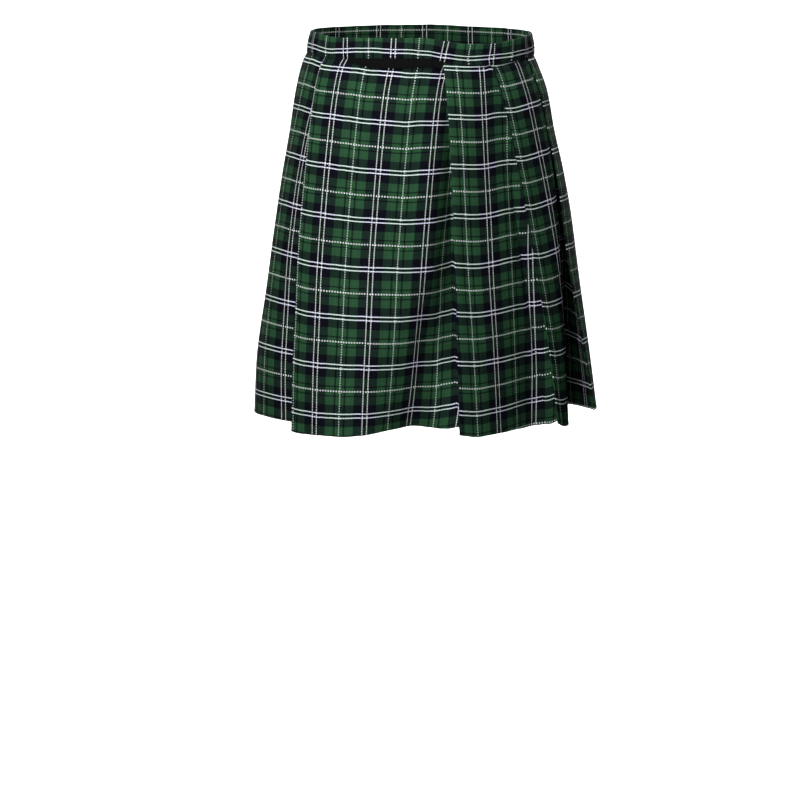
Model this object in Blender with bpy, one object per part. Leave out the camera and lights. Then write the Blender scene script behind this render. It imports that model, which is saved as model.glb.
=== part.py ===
"""A pull-on tartan kilt, standing open in the hollow form it has when it is worn.

Sizes are in millimetres and become metres as each mesh is made. +Z is up, the front faces -Y, and
+X is the wearer's left. The origin is the centre of the waist opening, level with the top of the
waistband at the sides.

"Around" is the angle in plan from the centre front, in degrees, growing towards +X and on round the
back. "Down" is the distance along the cloth from the waist seam. The skirt is one long straight
length of cloth in knife pleats: each panel starts at its fold edge, runs on under the next panel's
fold edge, and ends at the hidden inner fold, where the next panel's return layer starts.
"""

from collections import namedtuple
import math

import bpy
import numpy as np

MM = 0.001

# Cloth and seams
CLOTH = 1.0  # thickness of the skirt's wall
LAYER_GAP = 0.7  # air between two layers that lie on each other
SEAM_GAP = 0.3  # between two pieces that are sewn together
LAYER_STEP = CLOTH + LAYER_GAP

# The skirt
SKIRT_LENGTH = 553  # of the cloth, from its top edge in the waist seam to the hem
LEVELS = (0, 14, 42, 85, 140, 205, 280, 360, 440, 505, SKIRT_LENGTH)  # rows of points, down the cloth

# The waistband
BAND_HEIGHT = 31
BAND_THICK = 3.0
BAND_BULGE = 1.2  # how far its middle stands out, over the elastic
BAND_COLUMNS = 72  # points round the ring
# Its section, from the foot of the outer face up over the top and down inside: the share of the
# height, and how far out from the outer face
Profile = namedtuple("Profile", "share out")
BAND_PROFILE = (
    Profile(0.0, 0.0),
    Profile(0.25, 0.8 * BAND_BULGE),
    Profile(0.55, BAND_BULGE),
    Profile(0.85, 0.6 * BAND_BULGE),
    Profile(1.0, -0.25 * BAND_THICK),
    Profile(1.0, -0.75 * BAND_THICK),
    Profile(0.85, -BAND_THICK),
    Profile(0.4, -BAND_THICK),
    Profile(0.0, -BAND_THICK),
)

# The skirt's outer form: how far it stands out from the centre line on each side, at each level
Form = namedtuple("Form", "down left right front back squareness")
SKIRT_FORM = (
    Form(0, 170, 165, 126, 128, 2.3),
    Form(15, 177, 172, 132, 136, 2.3),
    Form(60, 187, 187, 140, 150, 2.3),
    Form(120, 194, 197, 147, 161, 2.3),
    Form(180, 202, 210, 152, 168, 2.3),
    Form(240, 209, 221, 157, 172, 2.3),
    Form(360, 224, 236, 167, 179, 2.3),
    Form(480, 240, 250, 176, 187, 2.3),
    Form(SKIRT_LENGTH, 243, 257, 181, 192, 2.3),
)
BAND_TOP = Form(-BAND_HEIGHT, 165, 162, 122, 124, 2.3)

# Height of the waistband's top edge round the waist: it dips at the front
Edge = namedtuple("Edge", "around height")
BAND_EDGE = (
    Edge(-90, -1),
    Edge(-72, -4),
    Edge(-57, -10),
    Edge(-30, -11),
    Edge(0, -11),
    Edge(16, -16),
    Edge(33, -19.5),
    Edge(46, -19),
    Edge(62, -12),
    Edge(90, -4),
    Edge(135, 3),
    Edge(180, 7),
    Edge(225, 5),
    Edge(270, -1),
)

# Fold edges: where each lies round the body at the seam, the hip, half way down, low down and at the
# hem, how far the panel before it runs on beneath it at the seam and at the hem, and how far its
# return layer has opened inwards at the hem
Fold = namedtuple("Fold", "name seam hip half low hem lap_seam lap_hem open_hem")
HIP_DOWN = 120
HALF_DOWN = 300
LOW_DOWN = 430
TABLE_DOWNS = (0, HIP_DOWN, HALF_DOWN, LOW_DOWN, SKIRT_LENGTH)
FOLDS = (
    Fold("apron", -61.5, -59.4, -57.4, -55.3, -54.3, 66, 50, 4),
    Fold("pleat_1", 13.6, 15.5, 16.5, 16.8, 16.9, 64, 42, 8),
    Fold("pleat_2", 43.2, 47.9, 53.3, 57.4, 59.8, 54, 30, 10),
    Fold("pleat_3", 70.3, 71.4, 69.0, 72.0, 75.6, 62, 80, 48),
    Fold("pleat_4", 102.8, 103.5, 104.5, 106.0, 109.0, 62, 50, 12),
    Fold("pleat_5", 135.4, 135.0, 134.0, 136.0, 138.0, 60, 46, 6),
    Fold("pleat_6", 168.0, 168.5, 170.5, 172.0, 175.0, 62, 52, 14),
    Fold("pleat_7", 200.7, 200.5, 201.0, 203.0, 205.0, 62, 48, 8),
    Fold("pleat_8", 233.3, 234.5, 237.0, 238.5, 241.0, 60, 50, 12),
    Fold("pleat_9", 265.9, 266.0, 267.0, 269.0, 271.0, 60, 46, 8),
)

# Relief of a panel's face across it, from its fold edge (0) to the next one (1), in mm out from the
# form: at the hip, half way down, low down and at the hem. It is flat at the seam. Beside it, how much
# of the cloth is taken up into the seam there, and how much higher its folds let the hem hang.
Relief = namedtuple("Relief", "across hip half low hem taken_up lift")
APRON_RELIEF = (
    Relief(0.00, 9, 15, 15, 14, 1, 0),
    Relief(0.15, 7, 14, 17, 17, 1, 0),
    Relief(0.30, 3, 6, 12, 18, 1, 0),
    Relief(0.42, 2, 4, 11, 18, 1, 3),
    Relief(0.58, 2, 3, 2, -6, 0, 13),
    Relief(0.72, 1, 1, -16, -33, -2, 19),
    Relief(0.84, 0, -8, -42, -40, -2, 16),
    Relief(0.92, -5, -28, -42, -34, -2, 17),
    Relief(1.00, -20, -46, -42, -26, -2, 20),
)
PLEAT_1_RELIEF = (
    Relief(0.00, 1, 2, 3, 4, 13, -3),
    Relief(0.17, -1, -3, -3, -4, 15, -3),
    Relief(0.40, -6, -12, -15, -19, 17, -1),
    Relief(0.55, -10, -17, -23, -29, 19, 0),
    Relief(0.72, -13, -21, -31, -40, 21, 0),
    Relief(0.86, -15, -26, -36, -46, 22, 0),
    Relief(1.00, -16, -33, -35, -33, 22, 0),
)
PLEAT_2_RELIEF = (
    Relief(0.00, 1, -2, -6, -10, 21, -5),
    Relief(0.50, 3, 0, -6, -16, 21, -13),
    Relief(0.75, 5, 2, -10, -28, 22, -11),
    Relief(0.88, 5, 1, -24, -44, 24, -8),
    Relief(1.00, -2, -26, -46, -56, 28, -4),
)
PLEAT_3_RELIEF = (
    Relief(0.00, 2, 6, 8, 10, 17, 5),
    Relief(0.50, 0, 0, 0, 0, 15, 5),
    Relief(1.00, -4, -12, -15, -18, 10, 4),
)
BROAD_RELIEF = (
    Relief(0.00, 1, 4, 6, 8, 10, 0),
    Relief(0.50, 1, 3, 4, 5, 10, 0),
    Relief(1.00, -3, -9, -12, -15, 10, 2),
)
HOLLOW_RELIEF = (
    Relief(0.00, 1, 4, 6, 8, 10, 0),
    Relief(0.45, 0, -4, -7, -10, 9, 2),
    Relief(0.80, -2, -9, -14, -18, 9, 4),
    Relief(1.00, -3, -8, -11, -13, 10, 2),
)
SIDE_RELIEF = (
    Relief(0.00, 1, 3, 4, 6, 10, 2),
    Relief(0.50, 4, 12, 14, 14, 10, 4),
    Relief(1.00, 1, 0, -3, -6, 9, 6),
)
RELIEFS = (
    APRON_RELIEF,
    PLEAT_1_RELIEF,
    PLEAT_2_RELIEF,
    PLEAT_3_RELIEF,
    BROAD_RELIEF,
    HOLLOW_RELIEF,
    BROAD_RELIEF,
    HOLLOW_RELIEF,
    BROAD_RELIEF,
    SIDE_RELIEF,
)

# Points across each stretch of a panel
RETURN_STEPS = 4
FACE_STEPS = {"apron": 13, "pleat_1": 8}
OTHER_FACE_STEPS = 5
NOSE_STEPS = 4
NOSE_CUT_DEG = 25  # opens SEAM_GAP between two panels at their inner fold
INNER_NOSE_POINTS = 3
# How a face that has sunk behind the next fold edge closes up beneath it: how long it stays sunk
# beyond that edge, and how steeply it then rises
MOUTH_STAY, MOUTH_POWER = 1.3, 1.5
LEAST_FALL = 0.3  # of the cloth between two levels, however far it also runs sideways
SHARP_EDGE_DEG = 40

# The black tape caught in the seam over the apron
Tape = namedtuple("Tape", "around width")
TAPE = (
    Tape(-46.0, 2.5),
    Tape(-36.0, 9.5),
    Tape(-24.0, 12.5),
    Tape(-12.0, 12.0),
    Tape(0.0, 10.0),
    Tape(12.6, 9.0),
)
TAPE_ABOVE_SEAM = 1.5
TAPE_THICK = 1.0
TAPE_CLEARANCE = 0.5  # from the form's outer face to the tape
TAPE_COLUMNS = 13
TAPE_ROWS = 3

GREEN = (0.030, 0.100, 0.042, 1)
BLACK = (0.008, 0.008, 0.010, 1)


# ---- Curves through the tables


def slopes_between(xs, ys):
    """Slopes at the knots of a smooth curve that doesn't overshoot them."""
    step = np.diff(xs)[:, None]
    rise = np.diff(ys, axis=0) / step
    slope = np.zeros_like(ys)
    slope[0], slope[-1] = rise[0], rise[-1]
    before, after = rise[:-1], rise[1:]
    same_way = before * after > 0
    weight_a, weight_b = 2 * step[1:] + step[:-1], step[1:] + 2 * step[:-1]
    safe_before = np.where(same_way, before, 1)
    safe_after = np.where(same_way, after, 1)
    mean = (weight_a + weight_b) / (weight_a / safe_before + weight_b / safe_after)
    slope[1:-1] = np.where(same_way, mean, 0)
    return slope


def smooth_read(xs, ys, at):
    """The table's columns ys, read at the places `at` along a smooth curve through the rows."""
    xs = np.asarray(xs, float)
    ys = np.asarray(ys, float).reshape(len(xs), -1)
    at = np.clip(np.asarray(at, float), xs[0], xs[-1])
    slope = slopes_between(xs, ys)
    i = np.clip(np.searchsorted(xs, at, side="right") - 1, 0, len(xs) - 2)
    width = (xs[i + 1] - xs[i])[..., None]
    t = (at - xs[i])[..., None] / width
    start = (1 + 2 * t) * (1 - t) ** 2 * ys[i] + t * (1 - t) ** 2 * width * slope[i]
    end = t * t * (3 - 2 * t) * ys[i + 1] + t * t * (t - 1) * width * slope[i + 1]
    return start + end


def form_at(down):
    """The four reaches and the squareness of the skirt's form at a level."""
    rows = np.array(SKIRT_FORM)
    return smooth_read(rows[:, 0], rows[:, 1:], down)


def edge_height(around):
    """Height of the waistband's top edge, read round the whole waist."""
    rows = np.array(BAND_EDGE)
    turn = np.concatenate([rows[-4:-1] - (360, 0), rows, rows[1:4] + (360, 0)])
    around = (np.asarray(around, float) + 90) % 360 - 90
    return smooth_read(turn[:, 0], turn[:, 1:], around)[..., 0]


def seam_height(around):
    return edge_height(around) - BAND_HEIGHT


# ---- The form's section at one level


class Section:
    """One level of the form, read by distance round it from the centre front."""

    STEP_DEG = 0.25

    def __init__(self, form):
        self.form = form
        self.turn = np.arange(-180, 540, self.STEP_DEG)
        points = self.radius(self.turn)[:, None] * self.direction(self.turn)
        lengths = np.linalg.norm(np.diff(points, axis=0), axis=1)
        self.run = np.concatenate([[0], np.cumsum(lengths)])
        self.run -= np.interp(0, self.turn, self.run)

    @staticmethod
    def direction(around):
        angle = np.radians(around)
        return np.stack([np.sin(angle), -np.cos(angle)], axis=-1)

    def radius(self, around):
        left, right, front, back, power = self.form
        x, y = np.moveaxis(self.direction(around), -1, 0)
        reach_x = np.where(x < 0, left, right)
        reach_y = np.where(y < 0, front, back)
        return (np.abs(x / reach_x) ** power + np.abs(y / reach_y) ** power) ** (-1 / power)

    def distance(self, around):
        return np.interp(around, self.turn, self.run)

    def around(self, distance):
        return np.interp(distance, self.run, self.turn)

    def point(self, distance, out):
        """A point of the section moved out along its normal, and its angle round."""
        around = self.around(distance)
        base = self.radius(around)[:, None] * self.direction(around)
        ahead = around + self.STEP_DEG
        behind = around - self.STEP_DEG
        tangent = self.radius(ahead)[:, None] * self.direction(ahead)
        tangent -= self.radius(behind)[:, None] * self.direction(behind)
        tangent /= np.linalg.norm(tangent, axis=1)[:, None]
        normal = np.stack([tangent[:, 1], -tangent[:, 0]], axis=-1)
        return base + np.asarray(out)[:, None] * normal, around


# ---- The folds and the panels between them


def turned(fold, degrees):
    return fold._replace(**{key: getattr(fold, key) + degrees for key in fold._fields[1:6]})


def folds_from(index):
    """The fold edges of a panel and of the two after it, counted on round the body."""
    count = len(FOLDS)
    return [turned(FOLDS[(index + k) % count], 360 * ((index + k) // count)) for k in range(3)]


def fold_at(fold, down):
    """Angle round of the fold edge at a level."""
    return float(smooth_read(TABLE_DOWNS, fold[1:6], down)[0])


def lap_at(fold, down):
    return fold.lap_seam + (fold.lap_hem - fold.lap_seam) * down / SKIRT_LENGTH


def face_out(relief, across, down):
    """How far the face stands out from the form, at places across the panel. It slopes in by two
    layers, so that it passes under the next panel's fold."""
    rows = np.array(relief)
    columns = smooth_read(rows[:, 0], rows[:, 1:5], across)
    flat = np.zeros_like(columns[:, :1])
    by_level = np.concatenate([flat, columns], axis=1).T
    return smooth_read(TABLE_DOWNS, by_level, down) - 2 * LAYER_STEP * across


def moved_in(distance, out, by):
    """A line of the section moved inwards, square to itself."""
    slope = np.gradient(out, distance)
    length = np.sqrt(1 + slope**2)
    return distance + by * slope / length, out - by / length


def return_layer(fold, relief, start, width, down):
    """The layer that lies behind a panel's face, from its fold edge to the inner fold."""
    under = np.linspace(0, 1, RETURN_STEPS + 1)
    lap = lap_at(fold, down)
    distance, out = moved_in(start + under * lap, face_out(relief, under * lap / width, down), LAYER_STEP)
    return distance, out - fold.open_hem * (down / SKIRT_LENGTH) ** 2 * under


def fold_points(end, ahead, angles):
    """Points round a fold in the section: 90 is the end of its outer layer, -90 that of its inner
    layer, and 0 the fold's foremost point. `ahead` is the way the outer layer runs at its end."""
    ahead = ahead / np.linalg.norm(ahead)
    outward = np.array([-ahead[1], ahead[0]]) * np.sign(ahead[0])
    radius = LAYER_STEP / 2
    turn = np.radians(angles)[:, None]
    return (end - radius * outward + radius * (np.cos(turn) * ahead + np.sin(turn) * outward)).T


def panel_row(index, section, down):
    """One level of a panel's middle surface: distances round the form, how far out, and the place
    across the face, which goes from 0 at the fold edge to -1 at the inner end of its return."""
    fold, after, _ = folds_from(index)
    relief, next_relief = RELIEFS[index], RELIEFS[(index + 1) % len(RELIEFS)]
    start, end, beyond = [section.distance(fold_at(f, down)) for f in folds_from(index)]
    under = np.linspace(0, 1, RETURN_STEPS + 1)
    width = end - start

    # inner fold behind the panel, cut in the middle, and the return layer from there
    behind = np.array(return_layer(fold, relief, start, width, down))
    cut = np.linspace(NOSE_CUT_DEG, 90, INNER_NOSE_POINTS)
    rows = [(*fold_points(behind[:, -1], behind[:, -1] - behind[:, -2], cut), -np.ones(len(cut)))]
    rows.append((*behind[:, -2::-1], -under[-2::-1]))
    # the face, over its own lap and then to the next fold edge
    lap = lap_at(fold, down)
    steps = FACE_STEPS.get(fold.name, OTHER_FACE_STEPS)
    run = np.concatenate([under * lap, np.linspace(lap, width, steps + 1)[1:]])
    face = face_out(relief, run / width, down)
    # the fold edge
    front = np.array([start + run, face])
    around_edge = np.linspace(-90, 90, NOSE_STEPS + 1)[1:-1]
    rows.append((*fold_points(front[:, 0], front[:, 0] - front[:, 1], around_edge), 0 * around_edge))
    rows.append((*front, run / width))
    # on beneath the next panel, to its inner fold
    above = np.array(return_layer(after, next_relief, end, beyond - end, down))
    beneath = np.array(moved_in(*above, LAYER_STEP))
    beneath[1] -= (beneath[1, 0] - face[-1]) * (1 - under**MOUTH_STAY) ** MOUTH_POWER
    rows.append((*beneath[:, 1:-1], np.ones(RETURN_STEPS - 1)))
    cut = np.linspace(-90, -NOSE_CUT_DEG, INNER_NOSE_POINTS)
    rows.append((*fold_points(above[:, -1], above[:, -1] - above[:, -2], cut), np.ones(len(cut))))
    return [np.concatenate(column) for column in zip(*rows)]


def seam_and_lift(index, across):
    """How much cloth is taken up into the seam at each place, and how much its hem is lifted. A return
    layer goes over from its own fold edge's values to those at the end of the panel before."""
    rows, rows_before = np.array(RELIEFS[index]), np.array(RELIEFS[index - 1])
    values = smooth_read(rows[:, 0], rows[:, 5:], across)
    inward = np.maximum(-across, 0)[:, None]
    return (values + (rows_before[-1, 5:] - values) * inward).T


def panel_surface(index, levels):
    """The middle surface of one panel: points[across][down]."""
    plan, angles = [], []
    for down in levels:
        section = Section(form_at(down))
        distance, out, across = panel_row(index, section, down)
        points, around = section.point(distance, out)
        plan.append(points)
        angles.append(around)
    plan = np.array(plan).transpose(1, 0, 2)
    share = np.array(levels, float) / SKIRT_LENGTH
    taken_up, lift = seam_and_lift(index, across)
    drop = (SKIRT_LENGTH - taken_up)[:, None] * np.diff(share)
    sideways = np.sum(np.diff(plan, axis=1) ** 2, axis=2)
    fall = np.sqrt(np.maximum(drop**2 - sideways, (LEAST_FALL * drop) ** 2))
    seam = seam_height(angles[0]) - SEAM_GAP / 2
    height = seam[:, None] - np.concatenate([np.zeros((len(plan), 1)), np.cumsum(fall, axis=1)], 1)
    height += lift[:, None] * share**3
    return np.concatenate([plan, height[..., None]], axis=2)


# ---- Solids


def thicken(surface, thick):
    """Both faces of a wall whose middle surface is given, outer side first."""
    along = np.gradient(surface, axis=0)
    down = np.gradient(surface, axis=1)
    normal = np.cross(down, along)
    normal[:, 0, 2] = 0  # so that the edge in the seam stays level
    normal /= np.linalg.norm(normal, axis=2)[..., None]
    return surface + normal * thick / 2, surface - normal * thick / 2


def wall_mesh(outer, inner):
    """Points and faces of the closed wall between two grids of the same size."""
    columns, rows = outer.shape[:2]
    points = np.concatenate([outer.reshape(-1, 3), inner.reshape(-1, 3)])

    def at(side, i, j):
        return side * columns * rows + i * rows + j

    faces = []
    for i in range(columns - 1):
        for j in range(rows - 1):
            faces.append([at(0, i, j), at(0, i, j + 1), at(0, i + 1, j + 1), at(0, i + 1, j)])
            faces.append([at(1, i, j), at(1, i + 1, j), at(1, i + 1, j + 1), at(1, i, j + 1)])
    for i in range(columns - 1):
        faces.append([at(0, i, 0), at(0, i + 1, 0), at(1, i + 1, 0), at(1, i, 0)])
        j = rows - 1
        faces.append([at(0, i, j), at(1, i, j), at(1, i + 1, j), at(0, i + 1, j)])
    for j in range(rows - 1):
        faces.append([at(0, 0, j), at(1, 0, j), at(1, 0, j + 1), at(0, 0, j + 1)])
        i = columns - 1
        faces.append([at(0, i, j), at(0, i, j + 1), at(1, i, j + 1), at(1, i, j)])
    return points, faces


def material(name, colour, roughness):
    made = bpy.data.materials.new(name)
    made.use_nodes = True
    shader = made.node_tree.nodes["Principled BSDF"]
    shader.inputs["Base Color"].default_value = colour
    shader.inputs["Roughness"].default_value = roughness
    shader.inputs["Metallic"].default_value = 0
    return made


def add_object(name, points, faces, finish):
    mesh = bpy.data.meshes.new(name)
    mesh.from_pydata([tuple(p) for p in points * MM], [], faces)
    mesh.materials.append(finish)
    mesh.shade_smooth()
    mesh.set_sharp_from_angle(angle=math.radians(SHARP_EDGE_DEG))
    made = bpy.data.objects.new(name, mesh)
    bpy.context.scene.collection.objects.link(made)
    return made


def skirt(finish):
    for index, fold in enumerate(FOLDS):
        points, faces = wall_mesh(*thicken(panel_surface(index, LEVELS), CLOTH))
        add_object(f"skirt_{fold.name}", points, faces, finish)


def waistband(finish):
    """A closed ring with a rounded, padded section."""
    around = np.arange(BAND_COLUMNS) * 360 / BAND_COLUMNS
    base, top = np.array(SKIRT_FORM[0][1:]), np.array(BAND_TOP[1:])
    low = seam_height(around) + SEAM_GAP / 2
    high = edge_height(around)
    rings = []
    for share, out in BAND_PROFILE:
        section = Section(base + (top - base) * share)
        plan, _ = section.point(section.distance(around), np.full(len(around), out))
        rings.append(np.column_stack([plan, low + (high - low) * share]))
    points = np.array(rings)
    rows, columns = points.shape[:2]
    faces = []
    for i in range(rows):
        for j in range(columns):
            k, n = (i + 1) % rows, (j + 1) % columns
            faces.append([i * columns + j, i * columns + n, k * columns + n, k * columns + j])
    add_object("waistband", points.reshape(-1, 3), faces, finish)


def tape(finish):
    """A strip on the outside of the band's foot and the apron's top."""
    rows = np.array(TAPE)
    around = np.linspace(rows[0, 0], rows[-1, 0], TAPE_COLUMNS)
    width = smooth_read(rows[:, 0], rows[:, 1:], around)[:, 0]
    clear = TAPE_CLEARANCE + TAPE_THICK / 2
    grid = []
    for share in np.linspace(0, 1, TAPE_ROWS):
        down = share * width - TAPE_ABOVE_SEAM
        column = []
        for angle, level in zip(around, down):
            section = Section(form_at(max(level, 0)))
            plan, _ = section.point(section.distance(np.array([angle])), [clear])
            column.append([*plan[0], seam_height(angle) - level])
        grid.append(column)
    surface = np.array(grid).transpose(1, 0, 2)
    points, faces = wall_mesh(*thicken(surface, TAPE_THICK))
    add_object("seam_tape", points, faces, finish)


def main():
    for old in list(bpy.data.objects):
        bpy.data.objects.remove(old)
    tartan = material("tartan_cloth", GREEN, 0.8)
    black = material("black_tape", BLACK, 0.6)
    skirt(tartan)
    waistband(tartan)
    tape(black)


main()
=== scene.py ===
"""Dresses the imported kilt: its tartan cloth with every fold and pleat, the elastic waistband, the
black tape and the sewing, on a pale floor in soft studio light.

The frame is in metres. The tables here are in millimetres, as a maker would measure the kilt, and
become metres as each mesh is made. +Z is up, the front faces -Y and +X is the wearer's left.

"Around" is the angle in plan from the centre front, in degrees, growing towards +X. "Down" is the
distance along the cloth from the waist seam. A panel of the skirt starts at its fold edge, runs
on under the next panel's fold edge, and ends at the hidden inner fold.
"""

from collections import namedtuple
from functools import cache
import math

import bpy
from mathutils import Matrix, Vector
import numpy as np

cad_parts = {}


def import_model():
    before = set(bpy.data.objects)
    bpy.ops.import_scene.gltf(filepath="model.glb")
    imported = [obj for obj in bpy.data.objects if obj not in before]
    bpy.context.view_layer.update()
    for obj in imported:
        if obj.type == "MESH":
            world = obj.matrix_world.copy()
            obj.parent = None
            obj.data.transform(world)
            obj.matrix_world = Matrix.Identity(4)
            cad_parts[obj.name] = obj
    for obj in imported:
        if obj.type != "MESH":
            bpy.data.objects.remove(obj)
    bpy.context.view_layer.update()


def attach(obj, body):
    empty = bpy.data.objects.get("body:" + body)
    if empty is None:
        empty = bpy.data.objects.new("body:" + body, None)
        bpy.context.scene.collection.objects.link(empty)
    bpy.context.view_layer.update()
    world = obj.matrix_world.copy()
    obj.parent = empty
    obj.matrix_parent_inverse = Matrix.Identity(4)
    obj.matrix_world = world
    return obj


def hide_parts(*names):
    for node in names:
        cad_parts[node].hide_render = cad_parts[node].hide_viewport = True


MM = 0.001
BODY = "root"
TARTAN_SLOT = "tartan_cloth"
TAPE_SLOT = "black_tape"


def table(row, *rows):
    """Rows of values whose columns have the row's names."""
    return tuple(row(*values) for values in rows)


# ---- Sizes, in mm

SHELL = 0.6  # thickness of the woven cloth
LAYER_STEP = 1.7  # from one layer of a pleat to the next, where they hang free
SEWN_STEP = 0.7  # and where they are sewn flat in the seam
FREE_DOWN = 32
SKIRT_LENGTH = 553
TUCK = 3.0  # how far the cloth runs on up inside the waistband
SEAM_LEVELS = (-1.5, 0, 1.5)  # rows of points at the seam,
LEVEL_STEP = 4.3  # from one row to the next down the cloth,
HEM_LEVELS = (549.5, 551.6)  # and close above the hem
SHARP_EDGE_DEG = 50

BAND_HEIGHT = 31
BAND_COLUMNS = 470
BAND_FOOT_OUT = 0.9  # the band's outer side at its foot, out from the form
BAND_BULGE = 1.1
BAND_BULGE_SKEW, BAND_BULGE_FULL = 0.9, 0.8  # powers that move it up and make it broader
BAND_INSIDE = 2.7  # its inner side, in from the form
BAND_HOLLOW = 0.3  # and how far that bends in half way down
BAND_CROWN, BAND_OVER = 0.955, 0.045  # the top edge starts to turn over there, and rises by that
BAND_CROWN_OUT, BAND_CROWN_IN = BAND_FOOT_OUT - 0.2, -BAND_INSIDE + 0.3
BAND_UP_POINTS, BAND_OVER_POINTS, BAND_DOWN_POINTS = 15, 9, 11
BAND_CREASED, BAND_CREASED_MORE = 0.8, 1.2  # share of the creases at its edges, and half way up

Form = namedtuple("Form", "down left right front back squareness")
SKIRT_FORM = table(
    Form,
    (0, 170, 165, 126, 128, 2.3),
    (15, 177, 172, 132, 136, 2.3),
    (60, 187, 187, 140, 150, 2.3),
    (120, 194, 197, 147, 161, 2.3),
    (180, 202, 210, 152, 168, 2.3),
    (240, 209, 221, 157, 172, 2.3),
    (360, 224, 236, 167, 179, 2.3),
    (480, 240, 250, 176, 187, 2.3),
    (SKIRT_LENGTH, 243, 257, 181, 192, 2.3),
)
BAND_TOP = Form(-BAND_HEIGHT, 165, 162, 122, 124, 2.3)

# Height of the waistband's top edge round the waist
Edge = namedtuple("Edge", "around height")
BAND_EDGE = table(
    Edge,
    (-90, -1),
    (-72, -4),
    (-57, -10),
    (-30, -11),
    (0, -11),
    (16, -16),
    (33, -19.5),
    (46, -19),
    (62, -12),
    (90, -4),
    (135, 3),
    (180, 7),
    (225, 5),
    (270, -1),
)

# Fold edges, as in the frame: where each is round the body, level by level, how far the panel
# before it runs on beneath it, and how far its return layer opens inwards at the hem
Fold = namedtuple("Fold", "name seam hip half low hem lap_seam lap_hem open_hem")
TABLE_DOWNS = (0, 120, 300, 430, SKIRT_LENGTH)
FOLDS = table(
    Fold,
    ("apron", -61.5, -59.4, -57.4, -55.3, -54.3, 66, 50, 4),
    ("pleat_1", 13.6, 15.5, 16.5, 16.8, 16.9, 64, 42, 8),
    ("pleat_2", 43.2, 47.9, 53.3, 57.4, 59.8, 54, 30, 10),
    ("pleat_3", 70.3, 71.4, 69, 72, 75.6, 62, 80, 48),
    ("pleat_4", 102.8, 103.5, 104.5, 106, 109, 62, 50, 12),
    ("pleat_5", 135.4, 135, 134, 136, 138, 60, 46, 6),
    ("pleat_6", 168, 168.5, 170.5, 172, 175, 62, 52, 14),
    ("pleat_7", 200.7, 200.5, 201, 203, 205, 62, 48, 8),
    ("pleat_8", 233.3, 234.5, 237, 238.5, 241, 60, 50, 12),
    ("pleat_9", 265.9, 266, 267, 269, 271, 60, 46, 8),
)

# Relief of each panel's face, close to the frame's: how far out from the form, level by level,
# how much cloth is taken up into the seam, and how much higher the hem hangs
Relief = namedtuple("Relief", "across hip half low hem taken_up lift")
APRON_RELIEF = table(
    Relief,
    (0, 9, 15, 15, 14, 1, 0),
    (0.15, 7, 14, 17, 17, 1, 0),
    (0.30, 3, 6, 12, 18, 1, 0),
    (0.42, 2, 4, 11, 18, 1, 3),
    (0.58, 2, 3, 2, -6, 0, 13),
    (0.72, 1, 1, -13, -33, -2, 19),
    (0.84, 0, -8, -36, -40, -2, 16),
    (0.92, -5, -28, -42, -34, -2, 17),
    (1, -20, -46, -49, -26, -2, 20),
)
PLEAT_1_RELIEF = table(
    Relief,
    (0, 1, 2, 3, 4, 13, -3),
    (0.17, -1, -3, -3, -4, 15, -3),
    (0.40, -6, -12, -15, -19, 17, -1),
    (0.55, -10, -17, -23, -29, 19, -1),
    (0.72, -13, -21, -31, -40, 21, -3),
    (0.86, -15, -26, -36, -46, 22, -4),
    (1, -16, -33, -35, -33, 22, -4),
)
PLEAT_2_RELIEF = table(
    Relief,
    (0, 1, -2, -6, -10, 21, -5),
    (0.50, 3, 0, -6, -16, 21, -15),
    (0.75, 5, 2, -10, -28, 22, -11),
    (0.88, 5, 1, -24, -44, 24, -8),
    (1, -2, -26, -46, -56, 28, -4),
)
PLEAT_3_RELIEF = table(
    Relief,
    (0, 2, 6, 8, 10, 17, 3),
    (0.50, 0, 0, 0, 0, 15, 2),
    (1, -4, -12, -15, -18, 10, 2),
)
BROAD_RELIEF = table(
    Relief,
    (0, 1, 4, 6, 8, 10, 0),
    (0.50, 1, 3, 4, 5, 10, 0),
    (1, -3, -9, -12, -15, 10, 2),
)
HOLLOW_RELIEF = table(
    Relief,
    (0, 1, 4, 6, 8, 10, 0),
    (0.45, 0, -4, -7, -10, 9, 2),
    (0.80, -2, -9, -14, -18, 9, 4),
    (1, -3, -8, -11, -13, 10, 2),
)
SIDE_RELIEF = table(
    Relief,
    (0, 1, 3, 4, 6, 10, 2),
    (0.50, 4, 12, 14, 14, 10, 4),
    (1, 1, 0, -3, -6, 9, 6),
)
RELIEFS = (
    APRON_RELIEF,
    PLEAT_1_RELIEF,
    PLEAT_2_RELIEF,
    PLEAT_3_RELIEF,
    BROAD_RELIEF,
    HOLLOW_RELIEF,
    BROAD_RELIEF,
    HOLLOW_RELIEF,
    BROAD_RELIEF,
    SIDE_RELIEF,
)
# How long a sunken face stays sunk beyond the next fold edge, and how steeply it then rises
MOUTH_STAY, MOUTH_POWER = 1.3, 1.5
LEAST_FALL = 0.3  # of the cloth between two levels, however far it also runs sideways

# Points across each stretch of a panel
RETURN_STEPS = 14
FACE_STEPS = {"apron": 74, "pleat_1": 46, "pleat_2": 22, "pleat_3": 28}
OTHER_FACE_STEPS = 26
NOSE_STEPS = 8
NOSE_CUT_DEG = 25
INNER_NOSE_POINTS = 4
FACE_START = INNER_NOSE_POINTS + RETURN_STEPS + NOSE_STEPS - 1

# ---- The tartan

SETT_ACROSS = 77.0  # one repeat, along the waist
SETT_DOWN = 72.0  # and down the cloth
WARP_PITCH = SETT_ACROSS / 114  # from one upright thread to the next
WEFT_PITCH = SETT_DOWN / 134
TWILL_THREADS = 4  # the weave repeats after so many: two over and two under
DOT_WARPS, DOT_WEFTS = 6, 7  # a dotted line's floats repeat after so many threads
DOT_FLOAT = 2  # and cross so many of them
FIRST_DOUBLE = 19.4  # from the cloth's top edge in the seam to its first double line
SOLID, DOTTED = 0.75, 0.25  # a stripe whose `white` is over this has such a line

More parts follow.
